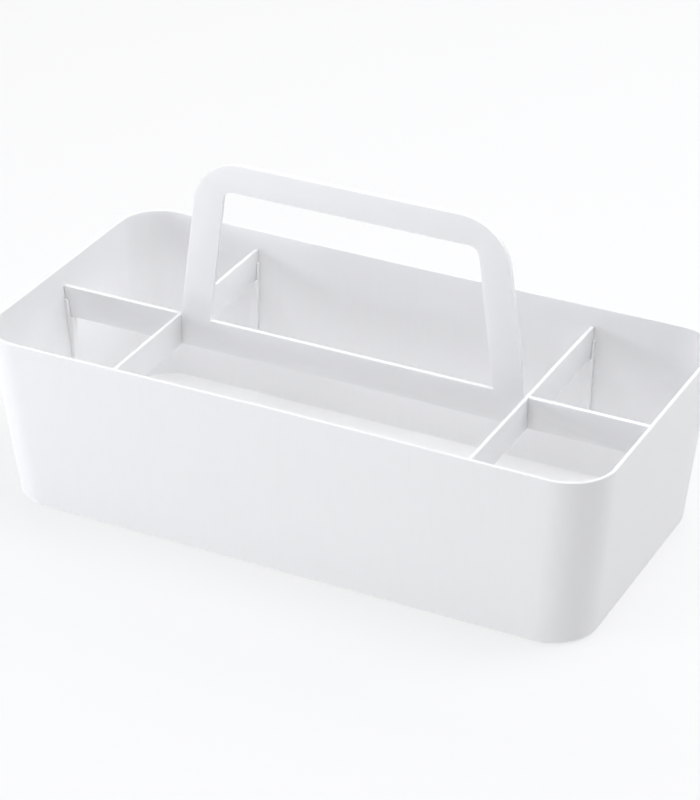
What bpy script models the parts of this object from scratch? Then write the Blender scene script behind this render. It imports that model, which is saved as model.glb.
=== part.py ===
"""Cleaning caddy: an open polypropylene tub, a handle plate down its middle and two cross dividers.

Metres, +Z up, origin in the middle of the underside. The plates are flat mouldings that hang in the upper
part of the tub. Each plate end rests on a ledge on the wall, between two low guides, and each cross divider
drops over the handle plate in a half-lap joint, so it can be drawn straight up and out.
"""

import math

import bmesh
import bpy
from mathutils import Vector

# Tub
TUB_LENGTH = 0.3200
TUB_WIDTH = 0.1605
TUB_HEIGHT = 0.0910
BASE_LENGTH = 0.3030
BASE_WIDTH = 0.1464
WALL = 0.0018
CORNER_RADIUS = 0.0228
BASE_EDGE_RADIUS = 0.0025
SIDE_BOW = 0.0011  # how far the rim of each long wall is drawn in at mid-length

# Underside
FOOT_RING_WIDTH = 0.0080
FOOT_RECESS = 0.0005
GATE_MARK_RADIUS = 0.0030
GATE_MARK_DROP = 0.0003

# Plates
DIVIDER_TOP = 0.0810
DIVIDER_HEIGHT = 0.0162
CROSS_X = 0.0917
CROSS_THICKNESS = 0.0018
HANDLE_THICKNESS = 0.0022
GAP = 0.0003  # running clearance between pieces that touch

# Handle
HANDLE_TOP = 0.1668
BAR_HEIGHT = 0.0147
LEG_WIDTH = 0.0153
LEG_LEAN = math.radians(7.6)
HANDLE_OUTER_RADIUS = 0.0260
WINDOW_TOP_RADIUS = 0.0052
WINDOW_FOOT_RADIUS = 0.0008

# Receivers on the walls
LEDGE_DEPTH = 0.0040
GUIDE_DROP = 0.0068  # the guides' tops below the plates' tops
GUIDE_DEPTH = 0.0020
GUIDE_THICKNESS = 0.0012

# Facets
CORNER_STEPS = 10
EDGE_STEPS = 3
ARC_STEPS = 10
BOW_SLICES = 12

WHITE = (0.86, 0.865, 0.875, 1.0)
DIVIDER_BOTTOM = DIVIDER_TOP - DIVIDER_HEIGHT
RIM_TRIM = 0.0010  # the shell is made this much too tall, then cut level


def clear_scene():
    for obj in list(bpy.data.objects):
        bpy.data.objects.remove(obj, do_unlink=True)


def new_collection(name):
    collection = bpy.data.collections.new(name)
    bpy.context.scene.collection.children.link(collection)
    return collection


def plastic(name, colour, roughness):
    """A Principled BSDF for moulded polypropylene."""
    material = bpy.data.materials.new(name)
    material.use_nodes = True
    shader = material.node_tree.nodes["Principled BSDF"]
    shader.inputs["Base Color"].default_value = colour
    shader.inputs["Roughness"].default_value = roughness
    shader.inputs["Metallic"].default_value = 0.0
    material.diffuse_color = colour
    return material


def half_length(z):
    """Outer half length of the tapered tub at this height."""
    return (BASE_LENGTH + (TUB_LENGTH - BASE_LENGTH) * z / TUB_HEIGHT) / 2


def half_width(z):
    """Outer half width of the tapered tub at this height, before the side bow."""
    return (BASE_WIDTH + (TUB_WIDTH - BASE_WIDTH) * z / TUB_HEIGHT) / 2


def side_bow(x, z):
    """How far a long wall is drawn in at this point."""
    straight = TUB_LENGTH / 2 - CORNER_RADIUS
    along = math.cos(math.pi / 2 * min(abs(x) / straight, 1.0))
    return SIDE_BOW * z / TUB_HEIGHT * along**2


def wall_across(half_size):
    """Wall thickness measured level, for the wall whose outer half size this function gives."""
    slope = (half_size(TUB_HEIGHT) - half_size(0.0)) / TUB_HEIGHT
    return WALL * math.hypot(1.0, slope)


def plate_end(half_size, z, bow=0.0):
    """How far out a plate reaches at this height, one gap short of the wall."""
    return half_size(z) - wall_across(half_size) - bow - GAP


def mesh_object(name, bm, collection):
    mesh = bpy.data.meshes.new(name)
    bm.to_mesh(mesh)
    bm.free()
    obj = bpy.data.objects.new(name, mesh)
    collection.objects.link(obj)
    return obj


def box(name, low, high, collection):
    """A box between two opposite corners."""
    low, high = Vector(low), Vector(high)
    bm = bmesh.new()
    bmesh.ops.create_cube(bm, size=1.0)
    bmesh.ops.scale(bm, vec=high - low, verts=bm.verts)
    bmesh.ops.translate(bm, vec=(low + high) / 2, verts=bm.verts)
    return mesh_object(name, bm, collection)


def rounded(corners, steps=ARC_STEPS):
    """The outline through these (u, v, radius) corners, each rounded to its radius by an arc."""
    points = []
    for index, (u, v, radius) in enumerate(corners):
        corner = Vector((u, v))
        if radius == 0:
            points.append(corner)
            continue
        before = Vector(corners[index - 1][:2])
        after = Vector(corners[(index + 1) % len(corners)][:2])
        back = (before - corner).normalized()
        ahead = (after - corner).normalized()
        half_angle = back.angle(ahead) / 2
        centre = corner + (back + ahead).normalized() * radius / math.sin(half_angle)
        start = corner + back * radius / math.tan(half_angle) - centre
        sweep = start.angle_signed(corner + ahead * radius / math.tan(half_angle) - centre)
        for step in range(steps + 1):
            # angle_signed counts clockwise turns as positive
            turn = -sweep * step / steps
            across = Vector((-start.y, start.x))
            points.append(centre + start * math.cos(turn) + across * math.sin(turn))
    return points


def mirrored(right_side):
    """A closed run of corners from its right-hand half, which goes from bottom to top."""
    return right_side + [(-u, v, radius) for u, v, radius in reversed(right_side)]


def flat_plate(name, outlines, thickness, collection):
    """A mesh plate of flat outlines, the first the edge and the others holes, lying level about z = 0."""
    curve = bpy.data.curves.new(name, "CURVE")
    curve.dimensions = "2D"
    curve.fill_mode = "BOTH"
    curve.extrude = thickness / 2
    for outline in outlines:
        spline = curve.splines.new("POLY")
        spline.points.add(len(outline) - 1)
        for point, (u, v) in zip(spline.points, outline):
            point.co = (u, v, 0.0, 1.0)
        spline.use_cyclic_u = True
    drawn = bpy.data.objects.new(name + "_outline", curve)
    collection.objects.link(drawn)
    bpy.context.view_layer.update()
    evaluated = drawn.evaluated_get(bpy.context.evaluated_depsgraph_get())
    bm = bmesh.new()
    bm.from_mesh(bpy.data.meshes.new_from_object(evaluated))
    bmesh.ops.remove_doubles(bm, verts=bm.verts, dist=1e-6)
    bmesh.ops.recalc_face_normals(bm, faces=bm.faces)
    bpy.data.objects.remove(drawn, do_unlink=True)
    return mesh_object(name, bm, collection)


def stand_up(obj, turn=0.0, place=(0.0, 0.0, 0.0)):
    """Stands a level plate on its lower edge, facing -Y, then turns it about Z."""
    obj.rotation_euler = (math.pi / 2, 0.0, turn)
    obj.location = place


def boolean(obj, operation, other):
    modifier = obj.modifiers.new(other.name, "BOOLEAN")
    modifier.operation = operation
    modifier.solver = "EXACT"
    modifier.object = other
    other.hide_render = True
    other.display_type = "WIRE"


def tub_form():
    """The tub's outer surface: a tapered open box with rounded corners and drawn-in long walls."""
    top = TUB_HEIGHT + RIM_TRIM
    bm = bmesh.new()
    bmesh.ops.create_cube(bm, size=1.0)
    for vertex in bm.verts:
        z = top if vertex.co.z > 0 else 0.0
        vertex.co = (
            math.copysign(half_length(z), vertex.co.x),
            math.copysign(half_width(z), vertex.co.y),
            z,
        )
    bm.normal_update()
    bmesh.ops.delete(bm, geom=[face for face in bm.faces if face.normal.z > 0.5], context="FACES")
    upright = [edge for edge in bm.edges if abs(edge.verts[0].co.z - edge.verts[1].co.z) > top / 2]
    bmesh.ops.bevel(
        bm, geom=upright, offset=CORNER_RADIUS, segments=CORNER_STEPS, profile=0.5, affect="EDGES"
    )
    lowest = [edge for edge in bm.edges if max(vertex.co.z for vertex in edge.verts) < 1e-6]
    bmesh.ops.bevel(
        bm, geom=lowest, offset=BASE_EDGE_RADIUS, segments=EDGE_STEPS, profile=0.5, affect="EDGES"
    )
    straight = TUB_LENGTH / 2 - CORNER_RADIUS
    for index in range(1, BOW_SLICES):
        x = straight * (2 * index / BOW_SLICES - 1)
        everything = bm.verts[:] + bm.edges[:] + bm.faces[:]
        bmesh.ops.bisect_plane(bm, geom=everything, plane_co=(x, 0, 0), plane_no=(1, 0, 0))
    for vertex in bm.verts:
        vertex.co.y -= math.copysign(side_bow(vertex.co.x, vertex.co.z), vertex.co.y)
    return bm


def receiver(name, half_size, turn, x, plate_thickness, cutters):
    """A ledge under a plate's end, which runs out into the wall's taper, and a guide on each side above it."""
    top = DIVIDER_TOP - GUIDE_DROP
    seat = DIVIDER_BOTTOM - GAP
    across = wall_across(half_size)
    slope = (half_size(TUB_HEIGHT) - half_size(0.0)) / TUB_HEIGHT
    ledge_face = half_size(seat) - across - LEDGE_DEPTH
    foot = seat - (LEDGE_DEPTH + across / 2) / slope
    outline = [
        (ledge_face, foot),
        (half_size(top) - across / 2, top),
        (half_size(top) - across - GUIDE_DEPTH, top),
        (half_size(seat) - across - GUIDE_DEPTH, seat),
        (ledge_face, seat),
    ]
    slot = plate_thickness + 2 * GAP
    rib = flat_plate(name, [outline], slot + 2 * GUIDE_THICKNESS, cutters)
    stand_up(rib, turn, (x, 0.0, 0.0))
    slot_low = (ledge_face - WALL, -slot / 2, seat)
    slot_high = (half_size(top) + WALL, slot / 2, top + WALL)
    slot_cutter = box(name + "_slot", slot_low, slot_high, cutters)
    slot_cutter.rotation_euler = (0.0, 0.0, turn)
    slot_cutter.location = (x, 0.0, 0.0)
    boolean(rib, "DIFFERENCE", slot_cutter)
    return rib


def receivers(cutters):
    """One receiver for each plate end: two on the end walls and four on the long walls."""
    found = []
    for side, turn in (("right", 0.0), ("left", math.pi)):
        name = "receiver_end_" + side
        found.append(receiver(name, half_length, turn, 0.0, HANDLE_THICKNESS, cutters))
    for side, x in (("right", CROSS_X), ("left", -CROSS_X)):
        for wall, turn in (("front", -math.pi / 2), ("back", math.pi / 2)):
            name = "receiver_" + wall + "_" + side
            found.append(receiver(name, half_width, turn, x, CROSS_THICKNESS, cutters))
    return found


def foot_recess(cutters):
    """The shallow recess that leaves a foot ring round the underside."""
    half_x = BASE_LENGTH / 2 - FOOT_RING_WIDTH
    half_y = BASE_WIDTH / 2 - FOOT_RING_WIDTH
    radius = CORNER_RADIUS - FOOT_RING_WIDTH
    corners = mirrored([(half_x, -half_y, radius), (half_x, half_y, radius)])
    recess = flat_plate("foot_recess", [rounded(corners, CORNER_STEPS)], 2 * FOOT_RECESS, cutters)
    return recess


def gate_mark(cutters):
    """The small stud that the mould's gate leaves in the middle of the recess."""
    bm = bmesh.new()
    height = WALL / 2 + GATE_MARK_DROP
    bmesh.ops.create_cone(
        bm, cap_ends=True, segments=24, radius1=GATE_MARK_RADIUS, radius2=GATE_MARK_RADIUS, depth=height
    )
    lowest = FOOT_RECESS - GATE_MARK_DROP
    bmesh.ops.translate(bm, vec=(0.0, 0.0, lowest + height / 2), verts=bm.verts)
    return mesh_object("gate_mark", bm, cutters)


def make_tub(parts, cutters):
    tub = mesh_object("tub", tub_form(), parts)
    shell = tub.modifiers.new("wall", "SOLIDIFY")
    shell.thickness = WALL
    shell.offset = -1.0
    shell.use_even_offset = True
    low = (-TUB_LENGTH, -TUB_WIDTH, TUB_HEIGHT)
    high = (TUB_LENGTH, TUB_WIDTH, TUB_HEIGHT + 10 * RIM_TRIM)
    boolean(tub, "DIFFERENCE", box("rim_trim", low, high, cutters))
    boolean(tub, "DIFFERENCE", foot_recess(cutters))
    boolean(tub, "UNION", gate_mark(cutters))
    for rib in receivers(cutters):
        boolean(tub, "UNION", rib)
    return tub


def make_handle_divider(parts):
    """The long divider and the handle, one flat plate with a window and a slot for each cross divider."""
    half_lap = DIVIDER_TOP - DIVIDER_HEIGHT / 2 - GAP / 2
    slot_inner = CROSS_X - CROSS_THICKNESS / 2 - GAP
    slot_outer = CROSS_X + CROSS_THICKNESS / 2 + GAP
    lean = math.tan(LEG_LEAN)
    window_foot = slot_inner - LEG_WIDTH / math.cos(LEG_LEAN)
    bar_underside = HANDLE_TOP - BAR_HEIGHT
    edge = mirrored(
        [
            (plate_end(half_length, DIVIDER_BOTTOM), DIVIDER_BOTTOM, 0),
            (plate_end(half_length, DIVIDER_TOP), DIVIDER_TOP, 0),
            (slot_outer, DIVIDER_TOP, 0),
            (slot_outer, half_lap, 0),
            (slot_inner, half_lap, 0),
            (slot_inner, DIVIDER_TOP, 0),
            (slot_inner - lean * (HANDLE_TOP - DIVIDER_TOP), HANDLE_TOP, HANDLE_OUTER_RADIUS),
        ]
    )
    window = mirrored(
        [
            (window_foot, DIVIDER_TOP, WINDOW_FOOT_RADIUS),
            (window_foot - lean * (bar_underside - DIVIDER_TOP), bar_underside, WINDOW_TOP_RADIUS),
        ]
    )
    plate = flat_plate("handle_divider", [rounded(edge), rounded(window)], HANDLE_THICKNESS, parts)
    stand_up(plate)
    return plate


def make_cross_divider(name, x, parts):
    """A cross divider, notched from below where it straddles the handle plate."""
    half_lap = DIVIDER_TOP - DIVIDER_HEIGHT / 2 + GAP / 2
    notch = HANDLE_THICKNESS / 2 + GAP
    low_end = plate_end(half_width, DIVIDER_BOTTOM, side_bow(x, DIVIDER_BOTTOM))
    high_end = plate_end(half_width, DIVIDER_TOP, side_bow(x, DIVIDER_TOP))
    edge = mirrored(
        [
            (notch, half_lap, 0),
            (notch, DIVIDER_BOTTOM, 0),
            (low_end, DIVIDER_BOTTOM, 0),
            (high_end, DIVIDER_TOP, 0),
        ]
    )
    plate = flat_plate(name, [rounded(edge)], CROSS_THICKNESS, parts)
    stand_up(plate, math.pi / 2, (x, 0.0, 0.0))
    return plate


def main():
    clear_scene()
    parts = new_collection("cleaning_caddy")
    cutters = new_collection("cutters")
    pieces = (
        (make_tub(parts, cutters), 0.42),
        (make_handle_divider(parts), 0.40),
        (make_cross_divider("cross_divider_left", -CROSS_X, parts), 0.40),
        (make_cross_divider("cross_divider_right", CROSS_X, parts), 0.40),
    )
    for piece, roughness in pieces:
        piece.data.materials.append(plastic(piece.name + "_plastic", WHITE, roughness))
        piece.data.shade_smooth()
        piece.data.set_sharp_from_angle(angle=math.radians(30))


main()
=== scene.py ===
"""The looks of the cleaning caddy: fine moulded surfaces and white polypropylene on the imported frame."""

import math

import bmesh
import bpy
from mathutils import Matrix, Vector


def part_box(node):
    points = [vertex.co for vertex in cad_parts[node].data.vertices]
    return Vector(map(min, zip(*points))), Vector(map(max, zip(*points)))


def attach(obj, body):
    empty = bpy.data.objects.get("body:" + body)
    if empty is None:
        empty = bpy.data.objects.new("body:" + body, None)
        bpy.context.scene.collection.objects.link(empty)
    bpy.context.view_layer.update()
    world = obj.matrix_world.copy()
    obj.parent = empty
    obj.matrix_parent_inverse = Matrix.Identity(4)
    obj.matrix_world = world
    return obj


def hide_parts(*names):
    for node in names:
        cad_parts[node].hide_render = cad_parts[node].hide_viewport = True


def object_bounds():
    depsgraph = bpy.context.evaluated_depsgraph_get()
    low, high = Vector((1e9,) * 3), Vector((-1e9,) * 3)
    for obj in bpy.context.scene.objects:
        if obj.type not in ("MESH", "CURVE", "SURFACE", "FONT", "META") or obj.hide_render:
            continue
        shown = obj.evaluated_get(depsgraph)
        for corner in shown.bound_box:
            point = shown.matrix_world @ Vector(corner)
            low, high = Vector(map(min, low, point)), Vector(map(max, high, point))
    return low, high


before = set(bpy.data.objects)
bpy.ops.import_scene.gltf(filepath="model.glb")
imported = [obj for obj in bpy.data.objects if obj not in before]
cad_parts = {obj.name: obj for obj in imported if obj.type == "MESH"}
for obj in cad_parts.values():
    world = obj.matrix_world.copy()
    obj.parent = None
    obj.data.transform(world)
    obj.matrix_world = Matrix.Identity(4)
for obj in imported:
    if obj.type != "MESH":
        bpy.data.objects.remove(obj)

CAD_LOW, CAD_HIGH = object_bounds()
TUB_LOW, TUB_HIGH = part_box("tub")
HANDLE_LOW, HANDLE_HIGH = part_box("handle_divider")
CROSS_LOW, CROSS_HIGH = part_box("cross_divider_right")

# Sizes that the frame gives, in metres
TUB_LENGTH = TUB_HIGH.x - TUB_LOW.x
TUB_WIDTH = TUB_HIGH.y - TUB_LOW.y
TUB_HEIGHT = TUB_HIGH.z
HANDLE_TOP = HANDLE_HIGH.z
HANDLE_THICKNESS = HANDLE_HIGH.y - HANDLE_LOW.y
CROSS_THICKNESS = CROSS_HIGH.x - CROSS_LOW.x
CROSS_X = (CROSS_LOW.x + CROSS_HIGH.x) / 2
DIVIDER_TOP = CROSS_HIGH.z
DIVIDER_BOTTOM = CROSS_LOW.z

# Sizes shared with the CAD source, in metres
BASE_LENGTH = 0.3030
BASE_WIDTH = 0.1464
WALL = 0.0018
CORNER_RADIUS = 0.0228
BASE_EDGE_RADIUS = 0.0025
SIDE_BOW = 0.0011
FOOT_RING_WIDTH = 0.0080
FOOT_RECESS = 0.0005
GATE_MARK_RADIUS = 0.0030
GATE_MARK_DROP = 0.0003
GAP = 0.0003
BAR_HEIGHT = 0.0147
LEG_WIDTH = 0.0153
LEG_LEAN = math.radians(7.6)
HANDLE_OUTER_RADIUS = 0.0260
WINDOW_TOP_RADIUS = 0.0052
WINDOW_FOOT_RADIUS = 0.0008
LEDGE_DEPTH = 0.0040
GUIDE_DROP = 0.0068
GUIDE_DEPTH = 0.0020
GUIDE_THICKNESS = 0.0012

# Sizes of the fine surface only, in metres
FIT = 0.00004  # the fine plates fit their slots this closely
RIM_ROUND = 0.00050
FLOOR_FILLET = 0.0006
RECESS_EDGE = 0.0006  # half the width of the soft step inside the foot ring
PLATE_ROUND = 0.00045
JOINT_ROUND_SHARE = 0.25  # edges inside the joints are rounded by this share of the others
RIB_ROUND = 0.00030

# How finely curves are drawn, and what counts as sharp, flat or the same
CORNER_STEPS = 28
SIDE_STEPS = 40
WALL_STEPS = 12
EDGE_STEPS = 8
RIM_STEPS = 4
FILLET_STEPS = 6
ARC_STEPS = 28
SHARP_EDGE = math.radians(40)
SHADING_BREAK = math.radians(35)
FLAT_ANGLE = math.radians(0.5)
SAME_HEIGHT = 1e-5
SAME_POINT = 1e-6

# Camera, on the photograph's viewing angle
CAMERA_AZIMUTH = math.radians(26.82)
CAMERA_ELEVATION = math.radians(29.41)
CAMERA_DISTANCE = 1.4428
CAMERA_TARGET = (0.0002, 0.0, 0.0558)
CAMERA_LENS_MM = 136.2

# Studio
NEUTRAL = (1.0, 1.0, 1.0)
DAYLIGHT = (0.93, 0.94, 1.0)
FLOOR_HALF_SIZE = 30.0
FLOOR_ALBEDO = (0.38, 0.38, 0.38)
FLOOR_GLOW = 0.56
ROOM_GLOW = 0.10

# Soft boxes: name, azimuth and elevation in degrees, distance, width and height in metres, watts, colour
SOFT_BOXES = (
    ("top_box", 0, 89, 1.6, 1.6, 1.6, 6.9, NEUTRAL),
    ("top_right_box", 90, 70, 1.6, 0.8, 0.8, 5.4, NEUTRAL),
    ("right_box", 110, 53, 1.6, 1.0, 0.8, 4.9, DAYLIGHT),
    ("back_right_box", 135, 35, 1.6, 1.0, 0.8, 4.1, DAYLIGHT),
    ("back_box", 180, 40, 1.8, 1.2, 1.0, 4.9, NEUTRAL),
    ("back_left_box", 225, 35, 1.8, 1.2, 1.0, 5.6, NEUTRAL),
    ("left_box", -80, 18, 1.4, 1.0, 0.7, 3.0, DAYLIGHT),
    ("front_left_box", -40, 7.6, 1.4, 1.0, 0.37, 6.0, DAYLIGHT),
    ("front_box", -18, 53, 1.6, 1.3, 0.8, 5.9, DAYLIGHT),
)

# White polypropylene
WHITE = (0.942, 0.940, 0.946)
PLASTIC_IOR = 1.49
LIGHT_REACH = 0.0006  # how far light travels under the surface, in metres
CLOUDS_PER_M = 18.0
CLOUD_DARKEST = 0.987
GLOSS_PATCHES_PER_M = 45.0
GLOSS_SPREAD = 0.04
FLOW_LINES_PER_M = 650.0
FLOW_STRETCH = (1.0, 1.0, 0.035)  # in a mesh's own axes: upright lines on the tub, a mottle on the plates


# ---------------------------------------------------------------- geometry

def half_length(z):
    """Outer half length of the tapered tub at this height."""
    return (BASE_LENGTH + (TUB_LENGTH - BASE_LENGTH) * z / TUB_HEIGHT) / 2


def half_width(z):
    """Outer half width of the tapered tub at this height, before the side bow."""
    return (BASE_WIDTH + (TUB_WIDTH - BASE_WIDTH) * z / TUB_HEIGHT) / 2


def side_bow(x, z):
    """How far a long wall is drawn in at this point."""
    straight = TUB_LENGTH / 2 - CORNER_RADIUS
    along = math.cos(math.pi / 2 * min(abs(x) / straight, 1.0))
    return SIDE_BOW * z / TUB_HEIGHT * along**2


def wall_across(half_size):
    """Wall thickness measured level, for the wall whose outer half size this function gives."""
    slope = (half_size(TUB_HEIGHT) - half_size(0.0)) / TUB_HEIGHT
    return WALL * math.hypot(1.0, slope)


def plate_end(half_size, z, bow=0.0):
    """How far out a plate reaches at this height, just short of the wall."""
    return half_size(z) - wall_across(half_size) - bow - FIT


def mesh_object(name, bm):
    """Makes an object of a bmesh and frees the bmesh."""
    mesh = bpy.data.meshes.new(name)
    bm.to_mesh(mesh)
    bm.free()
    obj = bpy.data.objects.new(name, mesh)
    bpy.context.scene.collection.objects.link(obj)
    return obj


def box(name, low, high):
    """A box between two opposite corners."""
    low, high = Vector(low), Vector(high)
    bm = bmesh.new()
    bmesh.ops.create_cube(bm, size=1.0)
    bmesh.ops.scale(bm, vec=high - low, verts=bm.verts)
    bmesh.ops.translate(bm, vec=(low + high) / 2, verts=bm.verts)
    return mesh_object(name, bm)


def modified(obj):
    """Applies an object's modifiers to its own mesh."""
    bpy.context.view_layer.update()
    evaluated = obj.evaluated_get(bpy.context.evaluated_depsgraph_get())
    mesh = bpy.data.meshes.new_from_object(evaluated)
    obj.modifiers.clear()
    obj.data = mesh
    return obj


def join(obj, operation, other):
    """Applies one Boolean and removes the other object."""
    boolean = obj.modifiers.new("join", "BOOLEAN")
    boolean.operation = operation
    boolean.solver = "EXACT"
    boolean.object = other
    modified(obj)
    bpy.data.objects.remove(other, do_unlink=True)


def smooth(obj):
    obj.data.shade_smooth()
    obj.data.set_sharp_from_angle(angle=SHADING_BREAK)


def rounded(corners):
    """The outline through these (u, v, radius) corners, each rounded to its radius by an arc."""
    points = []
    for index, (u, v, radius) in enumerate(corners):
        corner = Vector((u, v))
        if radius == 0:
            points.append(corner)
            continue
        before = Vector(corners[index - 1][:2])
        after = Vector(corners[(index + 1) % len(corners)][:2])
        back = (before - corner).normalized()
        ahead = (after - corner).normalized()
        half_angle = back.angle(ahead) / 2
        centre = corner + (back + ahead).normalized() * radius / math.sin(half_angle)
        start = corner + back * radius / math.tan(half_angle) - centre
        sweep = start.angle_signed(corner + ahead * radius / math.tan(half_angle) - centre)
        for step in range(ARC_STEPS + 1):
            turn = -sweep * step / ARC_STEPS
            across = Vector((-start.y, start.x))
            points.append(centre + start * math.cos(turn) + across * math.sin(turn))
    return points


def mirrored(right_side):
    """A closed run of corners from its right-hand half, which goes from bottom to top."""
    return right_side + [(-u, v, radius) for u, v, radius in reversed(right_side)]


def flat_plate(name, outlines, thickness):
    """A mesh plate of flat outlines, the first the edge and the others holes, lying level about z = 0."""
    curve = bpy.data.curves.new(name, "CURVE")
    curve.dimensions = "2D"
    curve.fill_mode = "BOTH"
    curve.extrude = thickness / 2
    for outline in outlines:
        spline = curve.splines.new("POLY")
        spline.points.add(len(outline) - 1)
        for point, (u, v) in zip(spline.points, outline):
            point.co = (u, v, 0.0, 1.0)
        spline.use_cyclic_u = True
    drawn = bpy.data.objects.new(name + "_outline", curve)
    bpy.context.scene.collection.objects.link(drawn)
    bpy.context.view_layer.update()
    evaluated = drawn.evaluated_get(bpy.context.evaluated_depsgraph_get())
    bm = bmesh.new()
    bm.from_mesh(bpy.data.meshes.new_from_object(evaluated))
    bmesh.ops.remove_doubles(bm, verts=bm.verts, dist=SAME_POINT)
    bmesh.ops.recalc_face_normals(bm, faces=bm.faces)
    bmesh.ops.dissolve_limit(bm, angle_limit=FLAT_ANGLE, verts=bm.verts, edges=bm.edges)
    bpy.data.objects.remove(drawn, do_unlink=True)
    return mesh_object(name, bm)


def stand_up(obj, turn=0.0, x=0.0):
    """Stands a level plate on its lower edge, facing -Y, turns it about Z and moves it along X."""
    obj.rotation_euler = (math.pi / 2, 0.0, turn)
    obj.location = (x, 0.0, 0.0)


def round_edges(obj, width, segments):
    """Rounds every sharp edge."""
    bevel = obj.modifiers.new("edges", "BEVEL")
    bevel.width = width
    bevel.segments = segments
    bevel.limit_method = "ANGLE"
    bevel.angle_limit = SHARP_EDGE
    modified(obj)


def round_plate(plate):
    """Rounds a level plate's edges, less so below the dividers' tops, where the joints are."""
    bm = bmesh.new()
    bm.from_mesh(plate.data)
    weight = bm.edges.layers.float.new("bevel_weight_edge")
    for edge in bm.edges:
        if edge.calc_face_angle(0.0) > SHARP_EDGE:
            exposed = min(vert.co.y for vert in edge.verts) > DIVIDER_TOP - SAME_HEIGHT
            edge[weight] = 1.0 if exposed else JOINT_ROUND_SHARE
    bm.to_mesh(plate.data)
    bm.free()
    bevel = plate.modifiers.new("edges", "BEVEL")
    bevel.width = PLATE_ROUND
    bevel.segments = 4
    bevel.limit_method = "WEIGHT"
    modified(plate)


# ---------------------------------------------------------------- the tub

def wall_section():
    """The tub's wall as (inset, height) points, from the underside round the rim and down to the floor."""
    points = [(FOOT_RING_WIDTH + RECESS_EDGE, FOOT_RECESS)]
    points.append((FOOT_RING_WIDTH + RECESS_EDGE / 3, FOOT_RECESS * 0.85))
    points.append((FOOT_RING_WIDTH, FOOT_RECESS * 0.5))
    points.append((FOOT_RING_WIDTH - RECESS_EDGE / 3, FOOT_RECESS * 0.12))
    points.append((FOOT_RING_WIDTH - RECESS_EDGE, 0.0))
    for step in range(EDGE_STEPS + 1):
        turn = math.pi / 2 * step / EDGE_STEPS
        points.append((BASE_EDGE_RADIUS * (1 - math.sin(turn)), BASE_EDGE_RADIUS * (1 - math.cos(turn))))
    top_of_wall = TUB_HEIGHT - RIM_ROUND
    for step in range(1, WALL_STEPS):
        points.append((0.0, BASE_EDGE_RADIUS + (top_of_wall - BASE_EDGE_RADIUS) * step / WALL_STEPS))
    for step in range(RIM_STEPS + 1):
        turn = math.pi / 2 * step / RIM_STEPS
        points.append((RIM_ROUND * (1 - math.cos(turn)), top_of_wall + RIM_ROUND * math.sin(turn)))
    for step in range(RIM_STEPS + 1):
        turn = math.pi / 2 * step / RIM_STEPS
        points.append((WALL - RIM_ROUND * (1 - math.sin(turn)), top_of_wall + RIM_ROUND * math.cos(turn)))
    foot_of_wall = WALL + FLOOR_FILLET
    for step in range(1, WALL_STEPS):
        points.append((WALL, top_of_wall - (top_of_wall - foot_of_wall) * step / WALL_STEPS))
    for step in range(FILLET_STEPS + 1):
        turn = math.pi / 2 * step / FILLET_STEPS
        inset = WALL + FLOOR_FILLET * (1 - math.cos(turn))
        points.append((inset, foot_of_wall - FLOOR_FILLET * math.sin(turn)))
    return points


def ring(inset, z):
    """One level ring round the tub, as points that stay in step from ring to ring."""
    half_x, half_y = half_length(z) - inset, half_width(z) - inset
    radius = CORNER_RADIUS - inset
    points = []
    for quarter in range(4):
        sign_x = (1, -1, -1, 1)[quarter]
        sign_y = (1, 1, -1, -1)[quarter]
        centre_x, centre_y = sign_x * (half_x - radius), sign_y * (half_y - radius)
        for step in range(CORNER_STEPS + 1):
            turn = math.pi / 2 * (quarter + step / CORNER_STEPS)
            points.append((centre_x + radius * math.cos(turn), centre_y + radius * math.sin(turn)))
        if quarter % 2 == 0:
            for step in range(1, SIDE_STEPS):
                x = centre_x * (1 - 2 * step / SIDE_STEPS)
                points.append((x, sign_y * half_y))
    return [(x, y - math.copysign(side_bow(x, z), y), z) for x, y in points]


def tub_surface():
    """The skin of the tub: rings joined one to the next, closed by the underside and by the floor inside."""
    bm = bmesh.new()
    rings = [[bm.verts.new(point) for point in ring(inset, z)] for inset, z in wall_section()]
    count = len(rings[0])
    for lower, upper in zip(rings, rings[1:]):
        for index in range(count):
            ahead = (index + 1) % count
            bm.faces.new((lower[index], lower[ahead], upper[ahead], upper[index]))
    bm.faces.new(list(reversed(rings[0])))
    bm.faces.new(rings[-1])
    bmesh.ops.recalc_face_normals(bm, faces=bm.faces)
    return bm


def receiver(half_size, turn, x, plate_thickness):
    """A ledge under a plate's end, run out into the wall's taper, and a guide on each side above it."""
    top = DIVIDER_TOP - GUIDE_DROP
    seat = DIVIDER_BOTTOM - FIT
    across = wall_across(half_size)
    slope = (half_size(TUB_HEIGHT) - half_size(0.0)) / TUB_HEIGHT
    ledge_face = half_size(seat) - across - LEDGE_DEPTH
    foot = seat - (LEDGE_DEPTH + across / 2) / slope
    outline = [
        (ledge_face, foot),
        (half_size(top) - across / 2, top),
        (half_size(top) - across - GUIDE_DEPTH, top),
        (half_size(seat) - across - GUIDE_DEPTH, seat),
        (ledge_face, seat),
    ]
    slot = plate_thickness + 2 * FIT
    rib = flat_plate("rib", [outline], slot + 2 * GUIDE_THICKNESS)
    stand_up(rib, turn, x)
    round_edges(rib, RIB_ROUND, 3)
    slot_low = (ledge_face - WALL, -slot / 2, seat)
    slot_high = (half_size(top) + WALL, slot / 2, top + WALL)
    cutter = box("slot_cutter", slot_low, slot_high)
    cutter.rotation_euler = (0.0, 0.0, turn)
    cutter.location = (x, 0.0, 0.0)
    join(rib, "DIFFERENCE", cutter)
    return rib


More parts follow.
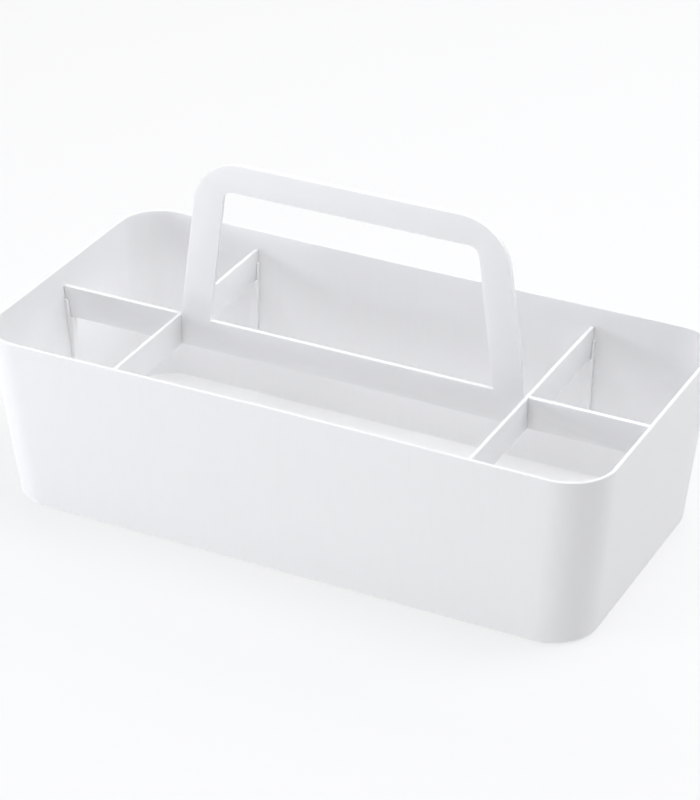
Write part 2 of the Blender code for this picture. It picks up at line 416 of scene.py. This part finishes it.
def gate_mark():
    """The small round mark in the middle of the underside, where the plastic was let into the mould."""
    bm = bmesh.new()
    height = WALL / 2 + GATE_MARK_DROP
    bmesh.ops.create_cone(
        bm, cap_ends=True, segments=48, radius1=GATE_MARK_RADIUS, radius2=GATE_MARK_RADIUS, depth=height
    )
    bmesh.ops.translate(bm, vec=(0.0, 0.0, FOOT_RECESS - GATE_MARK_DROP + height / 2), verts=bm.verts)
    mark = mesh_object("mark", bm)
    round_edges(mark, GATE_MARK_DROP / 2, 2)
    return mark


def make_tub():
    """The whole tub, with a receiver for each end of each plate."""
    tub = mesh_object("tub_moulding", tub_surface())
    join(tub, "UNION", gate_mark())
    for turn in (0.0, math.pi):
        join(tub, "UNION", receiver(half_length, turn, 0.0, HANDLE_THICKNESS))
    for x in (CROSS_X, -CROSS_X):
        for turn in (-math.pi / 2, math.pi / 2):
            join(tub, "UNION", receiver(half_width, turn, x, CROSS_THICKNESS))
    smooth(tub)
    return tub


# ---------------------------------------------------------------- the plates

def make_handle_divider():
    """The long divider and the handle, one flat plate with a window and a slot for each cross divider."""
    half_lap = (DIVIDER_TOP + DIVIDER_BOTTOM) / 2 - GAP / 2
    slot_inner = CROSS_X - CROSS_THICKNESS / 2 - FIT
    slot_outer = CROSS_X + CROSS_THICKNESS / 2 + FIT
    lean = math.tan(LEG_LEAN)
    leg_foot = CROSS_X - CROSS_THICKNESS / 2 - GAP
    window_foot = leg_foot - LEG_WIDTH / math.cos(LEG_LEAN)
    bar_underside = HANDLE_TOP - BAR_HEIGHT
    edge = mirrored(
        [
            (plate_end(half_length, DIVIDER_BOTTOM), DIVIDER_BOTTOM, 0),
            (plate_end(half_length, DIVIDER_TOP), DIVIDER_TOP, 0),
            (slot_outer, DIVIDER_TOP, 0),
            (slot_outer, half_lap, 0),
            (slot_inner, half_lap, 0),
            (slot_inner, DIVIDER_TOP, 0),
            (leg_foot - lean * (HANDLE_TOP - DIVIDER_TOP), HANDLE_TOP, HANDLE_OUTER_RADIUS),
        ]
    )
    window = mirrored(
        [
            (window_foot, DIVIDER_TOP, WINDOW_FOOT_RADIUS),
            (window_foot - lean * (bar_underside - DIVIDER_TOP), bar_underside, WINDOW_TOP_RADIUS),
        ]
    )
    plate = flat_plate("handle_divider_moulding", [rounded(edge), rounded(window)], HANDLE_THICKNESS)
    stand_up(plate)
    round_plate(plate)
    smooth(plate)
    return plate


def make_cross_divider(name, x):
    """A cross divider, notched from below where it straddles the handle plate."""
    half_lap = (DIVIDER_TOP + DIVIDER_BOTTOM) / 2 + GAP / 2
    notch = HANDLE_THICKNESS / 2 + FIT
    low_end = plate_end(half_width, DIVIDER_BOTTOM, side_bow(x, DIVIDER_BOTTOM))
    high_end = plate_end(half_width, DIVIDER_TOP, side_bow(x, DIVIDER_TOP))
    edge = mirrored(
        [
            (notch, half_lap, 0),
            (notch, DIVIDER_BOTTOM, 0),
            (low_end, DIVIDER_BOTTOM, 0),
            (high_end, DIVIDER_TOP, 0),
        ]
    )
    plate = flat_plate(name, [rounded(edge)], CROSS_THICKNESS)
    stand_up(plate, math.pi / 2, x)
    round_plate(plate)
    smooth(plate)
    return plate


# ---------------------------------------------------------------- materials

def polypropylene(name, roughness, grain_size, grain_depth, streak_tint, streak_depth):
    """White polypropylene: fine mould grain, faint flow lines and slow changes of tone and gloss."""
    material = bpy.data.materials.new(name)
    material.use_nodes = True
    nodes, links = material.node_tree.nodes, material.node_tree.links
    shader = nodes["Principled BSDF"]
    shader.inputs["IOR"].default_value = PLASTIC_IOR
    shader.inputs["Subsurface Weight"].default_value = 1.0
    shader.inputs["Subsurface Radius"].default_value = (1.0, 1.0, 1.0)
    shader.inputs["Subsurface Scale"].default_value = LIGHT_REACH
    place = nodes.new("ShaderNodeTexCoord")

    def noise(scale_per_m, stretch=(1.0, 1.0, 1.0), detail=3.0):
        mapping = nodes.new("ShaderNodeMapping")
        mapping.inputs["Scale"].default_value = stretch
        links.new(place.outputs["Object"], mapping.inputs["Vector"])
        texture = nodes.new("ShaderNodeTexNoise")
        texture.inputs["Scale"].default_value = scale_per_m
        texture.inputs["Detail"].default_value = detail
        links.new(mapping.outputs["Vector"], texture.inputs["Vector"])
        return texture.outputs["Fac"]

    def ramp(value, low, high):
        """Spreads the middle of a noise over the range from low to high."""
        spread = nodes.new("ShaderNodeMapRange")
        spread.inputs["From Min"].default_value = 0.3
        spread.inputs["From Max"].default_value = 0.7
        spread.inputs["To Min"].default_value = low
        spread.inputs["To Max"].default_value = high
        links.new(value, spread.inputs["Value"])
        return spread.outputs["Result"]

    def darkened(factor, darkest):
        """A mix that darkens its input A a little."""
        mix = nodes.new("ShaderNodeMix")
        mix.data_type = "RGBA"
        mix.blend_type = "MULTIPLY"
        mix.inputs["B"].default_value = (darkest, darkest, darkest, 1.0)
        links.new(factor, mix.inputs["Factor"])
        return mix

    def bump(height, depth):
        node = nodes.new("ShaderNodeBump")
        node.inputs["Strength"].default_value = 1.0
        node.inputs["Distance"].default_value = depth
        links.new(height, node.inputs["Height"])
        return node

    clouded = darkened(ramp(noise(CLOUDS_PER_M), 0.0, 1.0), CLOUD_DARKEST)
    clouded.inputs["A"].default_value = (*WHITE, 1.0)
    flow_lines = noise(FLOW_LINES_PER_M, FLOW_STRETCH, 2.0)
    streaked = darkened(ramp(flow_lines, 0.0, 1.0), 1.0 - streak_tint)
    links.new(clouded.outputs["Result"], streaked.inputs["A"])
    links.new(streaked.outputs["Result"], shader.inputs["Base Color"])

    gloss = ramp(noise(GLOSS_PATCHES_PER_M), roughness - GLOSS_SPREAD, roughness + GLOSS_SPREAD)
    links.new(gloss, shader.inputs["Roughness"])
    grain = bump(noise(1.0 / grain_size), grain_depth)
    flow = bump(flow_lines, streak_depth)
    links.new(flow.outputs["Normal"], grain.inputs["Normal"])
    links.new(grain.outputs["Normal"], shader.inputs["Normal"])
    return material


def tub_plastic():
    return polypropylene(
        "tub_polypropylene",
        roughness=0.44,
        grain_size=0.00045,
        grain_depth=0.000010,
        streak_tint=0.009,
        streak_depth=0.000009,
    )


def plate_plastic():
    """The same plastic, a little glossier and finer grained."""
    return polypropylene(
        "plate_polypropylene",
        roughness=0.40,
        grain_size=0.00035,
        grain_depth=0.000006,
        streak_tint=0.004,
        streak_depth=0.000004,
    )


def glowing_acrylic():
    """A matt pale sheet lit from within."""
    material = bpy.data.materials.new("light_table")
    material.use_nodes = True
    shader = material.node_tree.nodes["Principled BSDF"]
    shader.inputs["Base Color"].default_value = (*FLOOR_ALBEDO, 1.0)
    shader.inputs["Roughness"].default_value = 1.0
    shader.inputs["Specular IOR Level"].default_value = 0.0
    shader.inputs["Emission Color"].default_value = (1.0, 1.0, 1.0, 1.0)
    shader.inputs["Emission Strength"].default_value = FLOOR_GLOW
    return material


def dress(obj, material):
    obj.data.materials.clear()
    obj.data.materials.append(material)


# ---------------------------------------------------------------- stage

def make_floor():
    """A pale floor lit from within, like a light table, so that the object stands on white."""
    bm = bmesh.new()
    bmesh.ops.create_grid(bm, x_segments=1, y_segments=1, size=FLOOR_HALF_SIZE)
    floor = mesh_object("floor", bm)
    floor.location.z = CAD_LOW.z
    dress(floor, glowing_acrylic())


def direction(azimuth, elevation):
    """The unit vector towards this azimuth and elevation, in radians; azimuth 0 is in front, at -Y."""
    level = math.cos(elevation)
    return Vector((math.sin(azimuth) * level, -math.cos(azimuth) * level, math.sin(elevation)))


def aim(obj, away):
    """Turns a lamp or a camera to look against this direction."""
    obj.rotation_mode = "QUATERNION"
    obj.rotation_quaternion = (-away).to_track_quat("-Z", "Y")


def soft_light(name, azimuth, elevation, distance, width, height, power, colour):
    """A rectangular soft box that looks at the object from this direction, in degrees."""
    data = bpy.data.lights.new(name, "AREA")
    data.shape = "RECTANGLE"
    data.size = width
    data.size_y = height
    data.energy = power
    data.color = colour
    lamp = bpy.data.objects.new(name, data)
    bpy.context.scene.collection.objects.link(lamp)
    away = direction(math.radians(azimuth), math.radians(elevation))
    lamp.location = away * distance
    aim(lamp, away)


def make_lights():
    world = bpy.data.worlds.new("studio")
    world.use_nodes = True
    background = world.node_tree.nodes["Background"]
    background.inputs["Color"].default_value = (1.0, 1.0, 1.0, 1.0)
    background.inputs["Strength"].default_value = ROOM_GLOW
    bpy.context.scene.world = world
    for soft_box in SOFT_BOXES:
        soft_light(*soft_box)


def make_camera():
    data = bpy.data.cameras.new("camera")
    data.lens = CAMERA_LENS_MM
    data.sensor_width = 36.0
    data.clip_start = 0.05
    data.clip_end = 100.0
    camera = bpy.data.objects.new("camera", data)
    bpy.context.scene.collection.objects.link(camera)
    away = direction(CAMERA_AZIMUTH, CAMERA_ELEVATION)
    camera.location = Vector(CAMERA_TARGET) + away * CAMERA_DISTANCE
    aim(camera, away)
    bpy.context.scene.camera = camera


def main():
    for_tub = tub_plastic()
    for_plates = plate_plastic()

    tub = make_tub()
    handle = make_handle_divider()
    left = make_cross_divider("cross_divider_left_moulding", -CROSS_X)
    right = make_cross_divider("cross_divider_right_moulding", CROSS_X)
    pieces = (
        (tub, "tub", "tub", "tub_plastic", for_tub),
        (handle, "tub", "handle_divider", "plate_plastic", for_plates),
        (left, "cross_divider_left", "cross_divider_left", "plate_plastic", for_plates),
        (right, "cross_divider_right", "cross_divider_right", "plate_plastic", for_plates),
    )
    for piece, body, node, slot, material in pieces:
        dress(piece, material)
        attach(piece, body)
        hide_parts(node)

    make_floor()
    make_lights()
    make_camera()
    bpy.context.scene.view_settings.view_transform = "Standard"


main()
